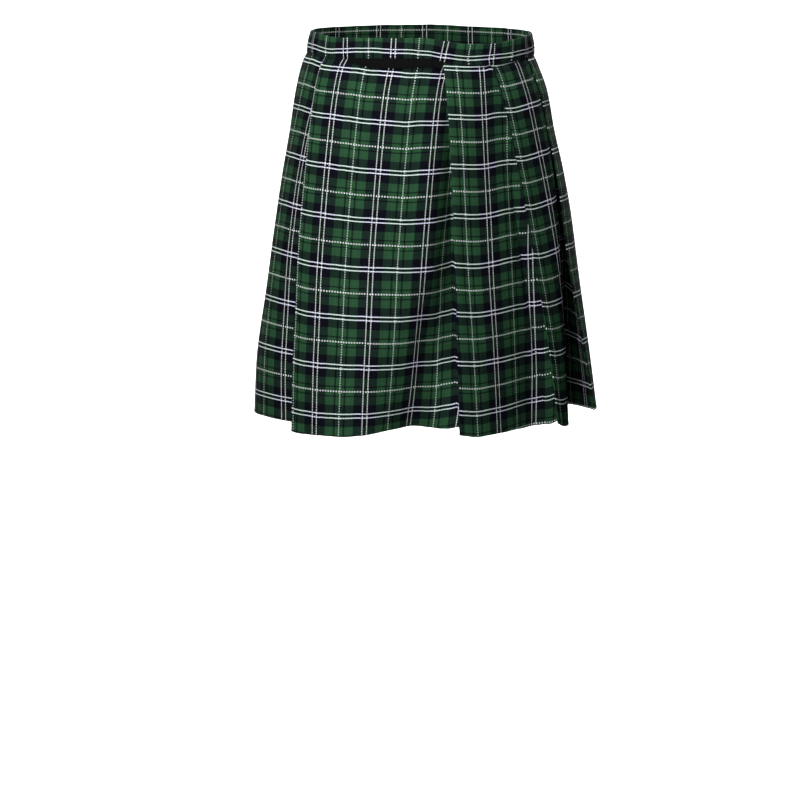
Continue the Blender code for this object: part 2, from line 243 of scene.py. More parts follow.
# Half of the repeat, from the middle of a double line to the dotted line, in shares of the whole.
# `white` is 1 for a solid white line and 0.5 for a dotted one. Over such threads, a white line
# takes the colour `tint`, and a coloured thread keeps the share `lets` of its own colour: the dark
# ones show through so thin a cloth
Stripe = namedtuple("Stripe", "to colour white tint lets")
GREEN = (0.0175, 0.0600, 0.0265)
LEAF = (0.0165, 0.0620, 0.0240)
NAVY = (0.0050, 0.0055, 0.0120)
BLACK = (0.0024, 0.0026, 0.0048)
PALE = (0.84, 0.86, 0.89)
MINT = (0.47, 0.66, 0.56)
LAVENDER = (0.49, 0.52, 0.73)
STRIPES = table(
    Stripe,
    (0.031, BLACK, 0, LAVENDER, 0.5),
    (0.050, NAVY, 1, PALE, 0.8),
    (0.222, NAVY, 0, LAVENDER, 0.5),
    (0.385, GREEN, 0, MINT, 1),
    (0.415, NAVY, 0, MINT, 0.5),
    (0.485, LEAF, 0, MINT, 1),
    (0.500, LEAF, 0.5, PALE, 1),
)
WHITE_WARP = (0.41, 0.425, 0.44)  # the upright double lines
WARP_UNEVEN, WEFT_UNEVEN = 0.22, 0.12  # threads differ a little from each other,
CLOUDY, CLOUD_SCALE = 0.20, 60.0  # and the dye from place to place
LEAST_LEVEL = 0.73  # what is left of a colour where all of these take from it
FUZZ, FUZZ_SCALE = 0.4, 1500.0
# Sewing threads, each from its darker to its lighter colour: along the twist the darker end is
# painted shade in the grooves between the plies, and noise varies the tone at random
DARK_THREAD = ((0.003, 0.009, 0.006), (0.010, 0.026, 0.015))
PALE_THREAD = ((0.38, 0.40, 0.38), (0.62, 0.64, 0.62))
THREAD_PLIES, THREAD_TURNS = 2, 1.6  # round the thread, and in each mm along it
# how much painted shade the twist lays into the grooves between the plies, and the scale of the
# random tone
THREAD_TWIST_PAINTED_SHADE, THREAD_FUZZ_SCALE = 0.3, 400.0

# Where the tartan lies on each panel. `offset` is how far the first dotted line is from the fold
# edge. On the last panel it is counted back from the apron's fold edge to a double line.
# `further` is how much further down the cloth its lines are than they would hang plumb
Phase = namedtuple("Phase", "down offset further")
PHASES = {
    "apron": table(
        Phase,
        (0, 0, 0),
        (300, 0.6, 0),
        (430, 1.5, 0),
        (SKIRT_LENGTH, 3.2, 0),
    ),
    "pleat_1": table(
        Phase,
        (0, 18.2, 0),
        (120, 18.6, 0.6),
        (300, 20.8, 2.5),
        (430, 25, 5.5),
        (SKIRT_LENGTH, 28.8, 6.2),
    ),
    "pleat_2": table(
        Phase,
        (0, 7, 0),
        (120, 7, 0.3),
        (300, 7.5, 1),
        (430, 8.5, 1.5),
        (SKIRT_LENGTH, 9.5, 2),
    ),
    "pleat_3": table(Phase, (0, 3.9, 1), (300, 6, 4), (SKIRT_LENGTH, 7.7, 5)),
    "pleat_4": table(Phase, (0, 9, 1), (SKIRT_LENGTH, 14, 3)),
    "pleat_5": table(Phase, (0, 5, 0), (SKIRT_LENGTH, 9, 2)),
    "pleat_6": table(Phase, (0, 12, 1), (SKIRT_LENGTH, 16, 3)),
    "pleat_7": table(Phase, (0, 6, 0), (SKIRT_LENGTH, 11, 2)),
    "pleat_8": table(Phase, (0, 10, 1), (SKIRT_LENGTH, 15, 3)),
    "pleat_9": table(
        Phase,
        (0, -6, 1),
        (78, 7, 1.5),
        (105, 14, 2),
        (148, 21, 2),
        (223, 28, 2),
        (348, 32, 2.5),
        (470, 31, 3),
        (SKIRT_LENGTH, 29, 3),
    ),
}

# How much lower a panel's level lines hang than its cloth's own length would put them, where the
# cloth is pulled up or sags along its folds
Drift = namedtuple("Drift", "across seam hip half low hem")
DRIFTS = {
    "apron": table(
        Drift,
        (0, -3, -5, -5, -3, -2),
        (0.08, -2, -4, -3, -1.5, -1.5),
        (0.20, 0, -1, -1, -0.5, 0),
        (0.35, 2.5, 1.5, 0.5, 0, -1),
        (0.60, 3, 3, 1.5, 4, 2.5),
        (0.75, 3, 0, 0, 1.5, 1.5),
        (0.84, 3, -1, -2.5, 0, 0),
        (0.92, 2, -4, -7, -6.5, -4),
        (1, -1, -7, -12.5, -10.5, -5),
    ),
    "pleat_1": table(
        Drift,
        (0, 2, 2.5, 3.5, 4, 3),
        (0.15, 1, 0.5, 2, 2, 2),
        (0.35, 1.7, 0, 0.8, 1, 1),
        (0.55, 3.2, 1.2, 0.7, 1, -0.5),
        (0.75, 5.4, 3, 1.3, 0.7, -3),
        (0.90, 6.3, 3.9, 2.6, 1.7, -3),
        (1, 6.5, 4.1, 1.5, 0.2, -3),
    ),
    "pleat_2": table(
        Drift,
        (0, 0, 0, 0, 0, -3),
        (0.50, -1, 0, -1, -1.5, -5.5),
        (1, -1.5, 0, -3, -3.5, -5),
    ),
    "pleat_3": table(Drift, (0, 0, 0, 0, 0, -3), (1, 0, 0, 0, 0, -3)),
    "pleat_9": table(Drift, (0, 4, 2, 0, 0, 0), (1, 3, 1, 0, 0, 0)),
}
BAND_DOUBLE_AROUND = 29.6  # distance round the band from the centre front to a double line
BAND_GATHER = 1.07  # cloth to the length of the elastic that it is sewn to
BAND_DRAWN_UP = 1.27  # and to the band's height above its level double line
# How far its upright lines bend back over its lowest quarter, where, and over how many degrees
BAND_BEND, BAND_BEND_AT, BAND_BEND_WIDE = 4.0, 34, 12

# How far the band's upright lines lean over its height, with their tops towards the wearer's
# left, and how far its level double line is from the top edge
BandLines = namedtuple("BandLines", "around lean down")
BAND_LINES = table(
    BandLines,
    (-180, 0, 19.5),
    (-90, -4, 20.5),
    (-60, -5, 21.2),
    (-50, -5, 19.6),
    (-36, -3, 18.2),
    (-20, 0, 19.8),
    (-8, 1, 20.2),
    (2, 4, 22.4),
    (20, 9, 22),
    (32, 9, 21.6),
    (46, 9, 19.8),
    (60, 9, 21.6),
    (110, 4, 20),
    (180, 0, 19.5),
)

# ---- Sewing

OVERLOCK_PITCH = 2.6  # from one turn of the thread round the hem's edge to the next
OVERLOCK_POINTS = 8  # of its line, in each turn
OVERLOCK_UP = 3.2  # how far it reaches up the cloth,
OVERLOCK_PAST = 0.2  # past the edge,
OVERLOCK_OUT = 0.5  # and out from the middle of the cloth
OVERLOCK_THREAD = 0.17  # radius of the thread
FOOT_STITCH, FOOT_STITCH_GAP = 2.4, 0.7
FOOT_STITCH_UP = 0.6  # in shares of the band's lowest step
FOOT_STITCH_OUT = (-0.15, 0.12, 0.18, 0.12, -0.15)  # how far out each of its points lies
FOOT_STITCH_THREAD = 0.2
TUBE_SIDES = 4
TUBE_ASIDE = (0.31, 0.22, 0.93)  # a direction that no thread runs in

# Short fibres that stand out from an edge
FIBRE_POINTS = 5
Fluff = namedtuple("Fluff", "count shortest longest thick spread bend")
TAPE_FLUFF = Fluff(240, 0.6, 1.8, 0.06, (1, 0.6, 1), 0.6)

# Stretches of the hem that have frayed, from `start` to `end` across the panel's face
Frayed = namedtuple("Frayed", "name start end count longest")
FRAYED = table(
    Frayed,
    ("pleat_1", 2, 75, 30, 4.5),
    ("pleat_3", 4, 60, 9, 3),
    ("apron", 150, 235, 7, 2.5),
    ("pleat_6", 20, 90, 11, 3.5),
)
FRAYED_SHORTEST, FRAYED_UP, FRAYED_THREAD = 1.5, 0.8, 0.16
# Which way its thread ends hang for each 1 down, along x and y, and how much each its own way
FRAYED_LEAN, FRAYED_SPREAD, FRAYED_BEND = (0, -0.1), (0.35, 0.2), 0.3

# ---- Creases: soft troughs and ridges that all the layers share. `from_around` and `to_around`
# are where the crease's line starts and ends, `wide` is its half width, and `deep` is how far it
# stands out from the cloth, or in where it is less than 0
Crease = namedtuple("Crease", "from_around from_down to_around to_down wide deep")
CREASES = table(
    Crease,
    (-51, 24, -49, 300, 12, 1.4),
    (-43, 90, -40, 520, 16, -1.3),
    (-31, 14, -33, 190, 11, 1),
    (-24, 210, -29, 600, 18, 1.4),
    (-14, 30, -18, 370, 15, -1.2),
    (-4, 12, -6, 160, 9, 0.9),
    (0, 300, -5, 590, 12, -1.5),
    (4, 350, 2, 600, 8, 1.4),
    (9, 210, 10, 480, 8, -1.3),
    (16, 8, 19.4, 600, 8, 1.7),
    (21, 40, 25.5, 610, 8, -1.5),
    (27, 380, 33, 505, 6, -1.5),
    (33, 70, 39, 420, 9, 1.1),
    (45.5, 10, 57, 420, 6, 1),
    (52, 30, 63, 330, 7, -1.1),
    (77, 50, 80, 460, 10, -1.3),
    (88, 20, 92, 330, 13, 1.5),
    (97, 160, 96, 590, 12, -1.5),
    (112, 30, 110, 410, 14, 1.6),
    (124, 240, 128, 600, 16, -1.8),
    (141, 20, 144, 230, 10, 1.1),
    (152, 120, 149, 560, 15, 1.7),
    (164, 40, 163, 300, 10, -1.2),
    (178, 220, 183, 600, 16, -1.7),
    (186, 16, 184, 200, 9, 1.1),
    (196, 90, 193, 500, 13, 1.4),
    (209, 30, 212, 380, 12, -1.3),
    (222, 260, 219, 600, 15, 1.8),
    (229, 14, 228, 170, 9, -1),
    (246, 60, 249, 470, 14, 1.6),
    (256, 180, 254, 590, 11, -1.4),
    (274, 20, 279, 340, 12, 1.2),
    (287, 130, 284, 560, 10, -1.2),
)
CREASE_ENDS = 1.5  # the power that makes both ends of a crease run out softly
MEAN_REACH, MEAN_SPREAD = 160, 0.14  # the form's radius at the seam, and how it grows downwards

# Waves round the kilt: their size, how many times they go round, and where they start
Wave = namedtuple("Wave", "size times start")
BAND_WAVER = (Wave(0.5, 9, 0), Wave(0.35, 23, 40))
BAND_FOOT_WAVER, BAND_TOP_WAVER = 0.25, 0.4  # how much of it each edge of the band takes
# The small gathers that the elastic draws into the band and into the cloth just below it
PUCKER_WANDER = (Wave(2.2, 3.1, 20), Wave(1.4, 7.3, 0))
FINE_PUCKERS, FINE_WANDER = Wave(0.34, 71, 0), 40
FINE_SWELL = Wave(1, 13, 60)
BROAD_PUCKERS, BROAD_WANDER, BROAD_SLANT = Wave(0.30, 33, 0), -30, 0.5
PUCKER_FADE = 26  # down the cloth

# ---- Curves through the tables


def slopes_between(xs, ys):
    """Slopes at the knots of a smooth curve that doesn't overshoot them."""
    step = np.diff(xs)[:, None]
    rise = np.diff(ys, axis=0) / step
    slope = np.zeros_like(ys)
    slope[0], slope[-1] = rise[0], rise[-1]
    before, after = rise[:-1], rise[1:]
    same_way = before * after > 0
    weight_a, weight_b = 2 * step[1:] + step[:-1], step[1:] + 2 * step[:-1]
    safe_before = np.where(same_way, before, 1)
    safe_after = np.where(same_way, after, 1)
    mean = (weight_a + weight_b) / (weight_a / safe_before + weight_b / safe_after)
    slope[1:-1] = np.where(same_way, mean, 0)
    return slope


def smooth_read(xs, ys, at):
    """The table's columns ys, read at the places `at` along a smooth curve through the rows."""
    xs = np.asarray(xs, float)
    ys = np.asarray(ys, float).reshape(len(xs), -1)
    at = np.clip(np.asarray(at, float), xs[0], xs[-1])
    slope = slopes_between(xs, ys)
    i = np.clip(np.searchsorted(xs, at, side="right") - 1, 0, len(xs) - 2)
    width = (xs[i + 1] - xs[i])[..., None]
    t = (at - xs[i])[..., None] / width
    start = (1 + 2 * t) * (1 - t) ** 2 * ys[i] + t * (1 - t) ** 2 * width * slope[i]
    end = t * t * (3 - 2 * t) * ys[i + 1] + t * t * (t - 1) * width * slope[i + 1]
    return start + end


def read_table(rows, at, first=1, last=None):
    """A table's columns from the first to before the last, where its own first column is `at`."""
    rows = np.array(rows)
    return smooth_read(rows[:, 0], rows[:, first:last], at)


def eased(share):
    """0 to 1, smooth at both ends."""
    share = np.clip(share, 0, 1)
    return share * share * (3 - 2 * share)


def unit(vectors):
    """The same directions at length 1."""
    return vectors / np.linalg.norm(vectors, axis=-1, keepdims=True)


def summed(steps):
    """0, and then the sum of the steps so far."""
    return np.concatenate([np.zeros((1, *steps.shape[1:])), np.cumsum(steps, axis=0)])


def distance_along(points):
    """How far along a line, or along each of many lines, each of its points is."""
    return summed(np.linalg.norm(np.diff(points, axis=0), axis=-1))


def read_along(run, line, places):
    """Points of a line at distances along it, where `run` has the distances of its own points."""
    return np.stack([np.interp(places, run, column) for column in line.T], axis=1)


def waves(rows, around, unit=math.pi / 180):
    """The sum of the waves, in degrees, or in radians where the unit is 1."""
    return sum(w.size * np.sin((around * w.times + w.start) * unit) for w in rows)


def edge_height(around):
    """Height of the waistband's top edge, read round the whole waist."""
    rows = np.array(BAND_EDGE)
    rows = np.concatenate([rows[-4:-1] - (360, 0), rows, rows[1:4] + (360, 0)])
    return read_table(rows, (np.asarray(around, float) + 90) % 360 - 90)[..., 0]


def seam_height(around):
    return edge_height(around) - BAND_HEIGHT


class Section:
    """One level of the form, read by distance round it from the centre front."""

    STEP_DEG = 0.25

    def __init__(self, form):
        self.form = form
        self.turn = np.arange(-180, 540, self.STEP_DEG)
        self.run = distance_along(self.line(self.turn))
        self.run -= np.interp(0, self.turn, self.run)

    @staticmethod
    def direction(around):
        angle = np.radians(around)
        return np.stack([np.sin(angle), -np.cos(angle)], axis=-1)

    def radius(self, around):
        left, right, front, back, power = self.form
        x, y = np.moveaxis(self.direction(around), -1, 0)
        reach_x = np.where(x < 0, left, right)
        reach_y = np.where(y < 0, front, back)
        return (np.abs(x / reach_x) ** power + np.abs(y / reach_y) ** power) ** (-1 / power)

    def line(self, around):
        return self.radius(around)[:, None] * self.direction(around)

    def distance(self, around):
        return np.interp(around, self.turn, self.run)

    def around(self, distance):
        return np.interp(distance, self.run, self.turn)

    def point(self, distance, out):
        """A point of the section moved out along its normal, and its angle round."""
        around = self.around(distance)
        tangent = unit(self.line(around + self.STEP_DEG) - self.line(around - self.STEP_DEG))
        normal = np.stack([tangent[:, 1], -tangent[:, 0]], axis=-1)
        return self.line(around) + np.asarray(out)[:, None] * normal, around


# ---- The panels


def turned(fold, degrees):
    return fold._replace(**{key: getattr(fold, key) + degrees for key in fold._fields[1:6]})


def folds_from(index):
    """The fold edges of a panel and of the two after it, counted on round the body."""
    count = len(FOLDS)
    return [turned(FOLDS[(index + k) % count], 360 * ((index + k) // count)) for k in range(3)]


def fold_at(fold, down):
    return float(smooth_read(TABLE_DOWNS, fold[1:6], down)[0])


def lap_at(fold, down):
    return fold.lap_seam + (fold.lap_hem - fold.lap_seam) * max(down, 0) / SKIRT_LENGTH


def layer_step(down):
    """From one layer to the next: they are sewn flat at the seam and part below it."""
    return SEWN_STEP + (LAYER_STEP - SEWN_STEP) * float(eased(down / FREE_DOWN))


def face_out(relief, across, down):
    """How far the face stands out from the form, at places across the panel."""
    columns = read_table(relief, across, 1, 5)
    flat = np.zeros_like(columns[:, :1])
    by_level = np.concatenate([flat, columns], axis=1).T
    return smooth_read(TABLE_DOWNS, by_level, down) - 2 * layer_step(down) * across


def moved_in(distance, out, by):
    """A line of the section moved inwards, square to itself."""
    slope = np.gradient(out, distance)
    length = np.sqrt(1 + slope**2)
    return distance + by * slope / length, out - by / length


def return_layer(fold, relief, start, width, down):
    """The layer that lies behind a panel's face, from its fold edge to the inner fold."""
    under = np.linspace(0, 1, RETURN_STEPS + 1)
    lap = lap_at(fold, down)
    face = face_out(relief, under * lap / width, down)
    distance, out = moved_in(start + under * lap, face, layer_step(down))
    return distance, out - fold.open_hem * (down / SKIRT_LENGTH) ** 2 * under


def fold_points(end, ahead, angles, radius):
    """Points round a fold in the section: 90 is the end of its outer layer, -90 that of its inner
    layer, and 0 the fold's foremost point."""
    ahead = unit(ahead)
    outward = np.array([-ahead[1], ahead[0]]) * np.sign(ahead[0])
    turn = np.radians(angles)[:, None]
    return (end - radius * outward + radius * (np.cos(turn) * ahead + np.sin(turn) * outward)).T


def panel_row(index, section, down):
    """One level of a panel's middle surface: distances round the form, how far out, and the place
    across the face, from 0 at the fold edge to -1 at the inner end of its return."""
    folds = folds_from(index)
    fold, after = folds[:2]
    relief, next_relief = RELIEFS[index], RELIEFS[(index + 1) % len(RELIEFS)]
    start, end, beyond = [section.distance(fold_at(f, down)) for f in folds]
    under = np.linspace(0, 1, RETURN_STEPS + 1)
    width, step = end - start, layer_step(down)
    radius = step / 2

    behind = np.array(return_layer(fold, relief, start, width, down))
    cut = np.linspace(NOSE_CUT_DEG, 90, INNER_NOSE_POINTS)
    inner = fold_points(behind[:, -1], behind[:, -1] - behind[:, -2], cut, radius)
    rows = [(*inner, -np.ones(len(cut)))]
    rows.append((*behind[:, -2::-1], -under[-2::-1]))
    lap = lap_at(fold, down)
    steps = FACE_STEPS.get(fold.name, OTHER_FACE_STEPS)
    run = np.concatenate([under * lap, np.linspace(lap, width, steps + 1)[1:]])
    face = face_out(relief, run / width, down)
    front = np.array([start + run, face])
    nose = np.linspace(-90, 90, NOSE_STEPS + 1)[1:-1]
    rows.append((*fold_points(front[:, 0], front[:, 0] - front[:, 1], nose, radius), 0 * nose))
    rows.append((*front, run / width))
    above = np.array(return_layer(after, next_relief, end, beyond - end, down))
    beneath = np.array(moved_in(*above, step))
    beneath[1] -= (beneath[1, 0] - face[-1]) * (1 - under**MOUTH_STAY) ** MOUTH_POWER
    rows.append((*beneath[:, 1:-1], np.ones(RETURN_STEPS - 1)))
    cut = np.linspace(-90, -NOSE_CUT_DEG, INNER_NOSE_POINTS)
    outer = fold_points(above[:, -1], above[:, -1] - above[:, -2], cut, radius)
    rows.append((*outer, np.ones(len(cut))))
    return [np.concatenate(column) for column in zip(*rows)]


def seam_and_lift(index, across):
    """How much cloth is taken up into the seam at each place, and how much its hem is lifted."""
    values = read_table(RELIEFS[index], across, 5)
    inward = np.maximum(-across, 0)[:, None]
    return (values + (RELIEFS[index - 1][-1][5:] - values) * inward).T


# ---- Creases


def puckers(around, down):
    """How far the elastic's gathers move the cloth out."""
    wander = waves(PUCKER_WANDER, around)
    fine = FINE_PUCKERS._replace(start=FINE_WANDER * wander)
    broad = BROAD_PUCKERS._replace(start=BROAD_WANDER * wander + down * BROAD_SLANT)
    fade = np.exp(-np.maximum(down, 0) / PUCKER_FADE)
    return fade * (waves([fine], around) * waves([FINE_SWELL], around) + waves([broad], around))


def creases_out(around, down):
    """How far the creases move the cloth out, at places round one level."""
    around = (np.asarray(around, float) + 180) % 360 - 180
    out = puckers(around, down)
    for crease in CREASES:
        share = (down - crease.from_down) / (crease.to_down - crease.from_down)
        if not 0 < share < 1:
            continue
        line = crease.from_around + (crease.to_around - crease.from_around) * share
        away = (around - line + 180) % 360 - 180
        aside = np.radians(away) * (MEAN_REACH + MEAN_SPREAD * down) / crease.wide
        deep = crease.deep * math.sin(math.pi * share) ** CREASE_ENDS
        out = out + deep * np.exp(-(aside**2))
    return out


# ---- Meshes


def skirt_levels():
    rest = np.linspace(TUCK, HEM_LEVELS[0] - LEVEL_STEP, int(HEM_LEVELS[0] / LEVEL_STEP))
    return np.concatenate([[-TUCK], SEAM_LEVELS, rest, HEM_LEVELS, [SKIRT_LENGTH]])


@cache
def section_at(down):
    return Section(read_table(SKIRT_FORM, down))


def panel_surface(index):
    """The middle surface of one panel, points[across][down], and its cloth coordinates."""
    fold = FOLDS[index]
    levels = skirt_levels()
    plan, angles = [], []
    for down in levels:
        section = section_at(down)
        distance, out, across = panel_row(index, section, down)
        out = out + creases_out(section.around(distance), down)
        points, around = section.point(distance, out)
        plan.append(points)
        angles.append(around)
    plan = np.array(plan).transpose(1, 0, 2)
    share = levels / SKIRT_LENGTH
    taken_up, lift = seam_and_lift(index, across)
    drop = (SKIRT_LENGTH - taken_up)[:, None] * np.diff(share)
    sideways = np.sum(np.diff(plan, axis=1) ** 2, axis=2)
    fall = np.sqrt(np.maximum(drop**2 - sideways, (LEAST_FALL * drop) ** 2))
    seam = seam_height(angles[0]) + TUCK
    height = seam[:, None] - summed(fall.T).T + lift[:, None] * np.maximum(share, 0) ** 3
    surface = np.concatenate([plan, height[..., None]], axis=2)
    return surface, cloth_coordinates(fold.name, surface, levels, across, taken_up)


def drift_at(name, across, levels):
    """How much lower the level lines hang, at each place across and down."""
    if name not in DRIFTS:
        return 0
    return smooth_read(TABLE_DOWNS, read_table(DRIFTS[name], across).T, levels).T


def cloth_coordinates(name, surface, levels, across, taken_up):
    """Distances along the threads: across, from a double line, and down, from the cloth's top."""
    run = distance_along(surface)
    offset, further = read_table(PHASES[name], levels).T
    if name == "pleat_9":
        face_end = FACE_START + RETURN_STEPS + OTHER_FACE_STEPS
        u = run - run[face_end] + offset
    else:
        u = run - run[FACE_START] - offset + SETT_ACROSS / 2
    v = taken_up[:, None] + (SKIRT_LENGTH - taken_up)[:, None] * levels / SKIRT_LENGTH + further
    return np.stack([u, v - drift_at(name, across, levels)], axis=2)


def thicken(surface, thick):
    """Both faces of a wall whose middle surface is given, outer side first."""
    along = np.gradient(surface, axis=0)
    down = np.gradient(surface, axis=1)
    normal = unit(np.cross(down, along))
    return surface + normal * thick / 2, surface - normal * thick / 2


def grid_quads(number):
    """Quads between the points of a grid, whose numbers are given."""
    corners = [number[:-1, :-1], number[:-1, 1:], number[1:, 1:], number[1:, :-1]]
    return np.stack(corners, axis=-1).reshape(-1, 4)


def shell(name, surface, cloth, thick, finish):
    """A closed thin wall on a middle surface, with the cloth's own coordinates as its UVs."""
    outer, inner = thicken(surface, thick)
    columns, rows = surface.shape[:2]
    points = np.concatenate([outer.reshape(-1, 3), inner.reshape(-1, 3)])
    out, back = np.arange(2 * columns * rows).reshape(2, columns, rows)
    quads = np.concatenate([
        grid_quads(out),
        grid_quads(back)[:, ::-1],
        grid_quads(np.stack([back[:, 0], out[:, 0]])),
        grid_quads(np.stack([out[:, -1], back[:, -1]])),
        grid_quads(np.stack([out[0], back[0]])),
        grid_quads(np.stack([back[-1], out[-1]])),
    ])
    uv = np.tile(cloth.reshape(-1, 2), (2, 1))[quads.ravel()]
    return mesh_object(name, points, quads, uv, finish)


def placed(name, data):
    made = bpy.data.objects.new(name, data)
    bpy.context.scene.collection.objects.link(made)
    return made


def mesh_object(name, points, quads, uv, finish):
    mesh = bpy.data.meshes.new(name)
    mesh.vertices.add(len(points))
    mesh.vertices.foreach_set("co", (points * MM).astype(np.float32).ravel())
    mesh.loops.add(quads.size)
    mesh.loops.foreach_set("vertex_index", quads.astype(np.int32).ravel())
    mesh.polygons.add(len(quads))
    starts = np.arange(0, quads.size, quads.shape[1], dtype=np.int32)
    mesh.polygons.foreach_set("loop_start", starts)
    mesh.update(calc_edges=True)
    layer = mesh.uv_layers.new(name="cloth")
    layer.data.foreach_set("uv", (uv * MM).astype(np.float32).ravel())
    mesh.materials.append(finish)
    mesh.shade_smooth()
    mesh.set_sharp_from_angle(angle=math.radians(SHARP_EDGE_DEG))
    mesh.validate()
    return placed(name, mesh)


def dress(piece, slot, *nodes):
    """A piece rides on the kilt's one body, in place of the frame's nodes."""
    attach(piece, BODY)
    if nodes:
        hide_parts(*nodes)
    return piece


# ---- Sewing


def tubes(name, paths, radius, finish, slot=TARTAN_SLOT):
    """Many thin closed tubes, one along each line of points, as one piece."""
    points, quads, uv, count = [], [], [], 0
    turn = np.arange(TUBE_SIDES) * 2 * math.pi / TUBE_SIDES
    for path in paths:
        ahead = unit(np.gradient(path, axis=0))
        aside = unit(np.cross(ahead, TUBE_ASIDE))
        across = np.cross(ahead, aside)
        ring = np.cos(turn)[:, None] * aside[:, None] + np.sin(turn)[:, None] * across[:, None]
        points.append((path[:, None] + radius * ring).reshape(-1, 3))
        number = count + np.arange(TUBE_SIDES * len(path)).reshape(-1, TUBE_SIDES)
        after = np.roll(number, -1, axis=1)
        side = np.stack([number[:-1], after[:-1], after[1:], number[1:]], axis=-1)
        quads.append(np.concatenate([side.reshape(-1, 4), number[:1, ::-1], number[-1:]]))
        sides = np.tile(np.arange(TUBE_SIDES) / TUBE_SIDES, len(path))
        uv.append(np.column_stack([sides, np.repeat(distance_along(path), TUBE_SIDES)]))
        count += TUBE_SIDES * len(path)
    quads = np.concatenate(quads)
    uv = np.concatenate(uv)[quads.ravel()]
    return dress(mesh_object(name, np.concatenate(points), quads, uv, finish), slot)


def overlock(name, surface, finish):
    """The thread that is wound round the raw edge of the hem."""
    hem, above = surface[:, -1], surface[:, -3]
    run = distance_along(hem)
    turns = int(run[-1] / OVERLOCK_PITCH)
    places = np.linspace(0, run[-1], turns * OVERLOCK_POINTS + 1)
    edge = read_along(run, hem, places)
    up = unit(read_along(run, above, places) - edge)
    out = unit(np.cross(up, np.gradient(edge, axis=0)))
    angle = np.arange(len(places)) * 2 * math.pi / OVERLOCK_POINTS
    reach = OVERLOCK_UP / 2 * (1 - np.cos(angle)) - OVERLOCK_PAST
    path = edge + up * reach[:, None] + out * (OVERLOCK_OUT * np.sin(angle))[:, None]
    return tubes(name, [path], OVERLOCK_THREAD, finish)


def foot_stitches(outer, finish):
    """A row of short stitches along the foot of the waistband."""
    line = outer[:, -1] + (outer[:, -2] - outer[:, -1]) * FOOT_STITCH_UP
    run = distance_along(line)
    stitch = np.linspace(0, FOOT_STITCH, len(FOOT_STITCH_OUT))
    paths = []
    for start in np.arange(0, run[-1] - FOOT_STITCH, FOOT_STITCH + FOOT_STITCH_GAP):
        path = read_along(run, line, start + stitch)
        paths.append(path + unit(path * (1, 1, 0)) * np.array(FOOT_STITCH_OUT)[:, None])
    return tubes("waistband_stitches", paths, FOOT_STITCH_THREAD, finish)


def fibre(root, ahead, bend, length):
    """Points of a fibre from its root, which sets out straight ahead and bends more and more."""
    t = np.linspace(0, 1, FIBRE_POINTS)[:, None]
    return root + length * (ahead * t + bend * t * t)


def loose_ends(name, roots, fluff, finish):
    """Short fibres that stand out from an edge, whose points are the roots."""
    chance = np.random.default_rng(len(name) + fluff.count)
    paths = []
    for root in roots[chance.integers(0, len(roots), fluff.count)]:
        ahead = unit(chance.normal(0, 1, 3) * fluff.spread)
        bend = chance.normal(0, fluff.bend, 3)
        paths.append(fibre(root, ahead, bend, chance.uniform(fluff.shortest, fluff.longest)))
    return tubes(name, paths, fluff.thick, finish, TAPE_SLOT)


def frayed_ends(frayed, surface, finish):
    """Ends of pale threads that hang from the overlocking along a frayed stretch of the hem."""
    hem = surface[FACE_START + RETURN_STEPS :, -1]
    places = np.linspace(frayed.start, frayed.end, frayed.count)
    chance = np.random.default_rng(frayed.count)
    paths = []
    for root in read_along(distance_along(hem), hem, places):
        ahead = np.array([*chance.normal(FRAYED_LEAN, FRAYED_SPREAD), -1])
        bend = chance.normal(0, FRAYED_BEND, 3)
        length = chance.uniform(FRAYED_SHORTEST, frayed.longest)
        paths.append(fibre(root + (0, 0, FRAYED_UP), ahead, bend, length))
    return tubes(f"frayed_{frayed.name}", paths, FRAYED_THREAD, finish)


# ---- The skirt


def skirt(finish, thread, white_thread):
    for index, fold in enumerate(FOLDS):
        surface, cloth = panel_surface(index)
        piece = shell(f"cloth_{fold.name}", surface, cloth, SHELL, finish)
        dress(piece, TARTAN_SLOT, f"skirt_{fold.name}")
        sewing = [overlock(f"overlock_{fold.name}", surface, thread)]
        for frayed in FRAYED:
            if frayed.name == fold.name:
                sewing.append(frayed_ends(frayed, surface, white_thread))


# ---- The waistband


def band_profile():
    """The strip's middle line over the elastic, from the foot outside up over the top and down
    the inside to the foot there: share of the band's height, and how far out."""
    rise = np.linspace(0, 1, BAND_UP_POINTS)
    bulge = BAND_BULGE * np.sin(np.pi * rise**BAND_BULGE_SKEW) ** BAND_BULGE_FULL
    outside = (BAND_FOOT_OUT + bulge) * (1 - rise**3) + BAND_CROWN_OUT * rise**3
    turn = np.radians(np.linspace(0, 180, BAND_OVER_POINTS)[1:-1])
    middle, radius = (BAND_CROWN_OUT + BAND_CROWN_IN) / 2, (BAND_CROWN_OUT - BAND_CROWN_IN) / 2
    up = list(zip(BAND_CROWN * rise, outside))
    over = list(zip(BAND_CROWN + BAND_OVER * np.sin(turn), middle + radius * np.cos(turn)))
    inside = [
        (BAND_CROWN * (1 - t), BAND_CROWN_IN - BAND_HOLLOW * math.sin(math.pi * t))
        for t in np.linspace(0, 1, BAND_DOWN_POINTS)
    ]
    return np.array(up + over + inside)


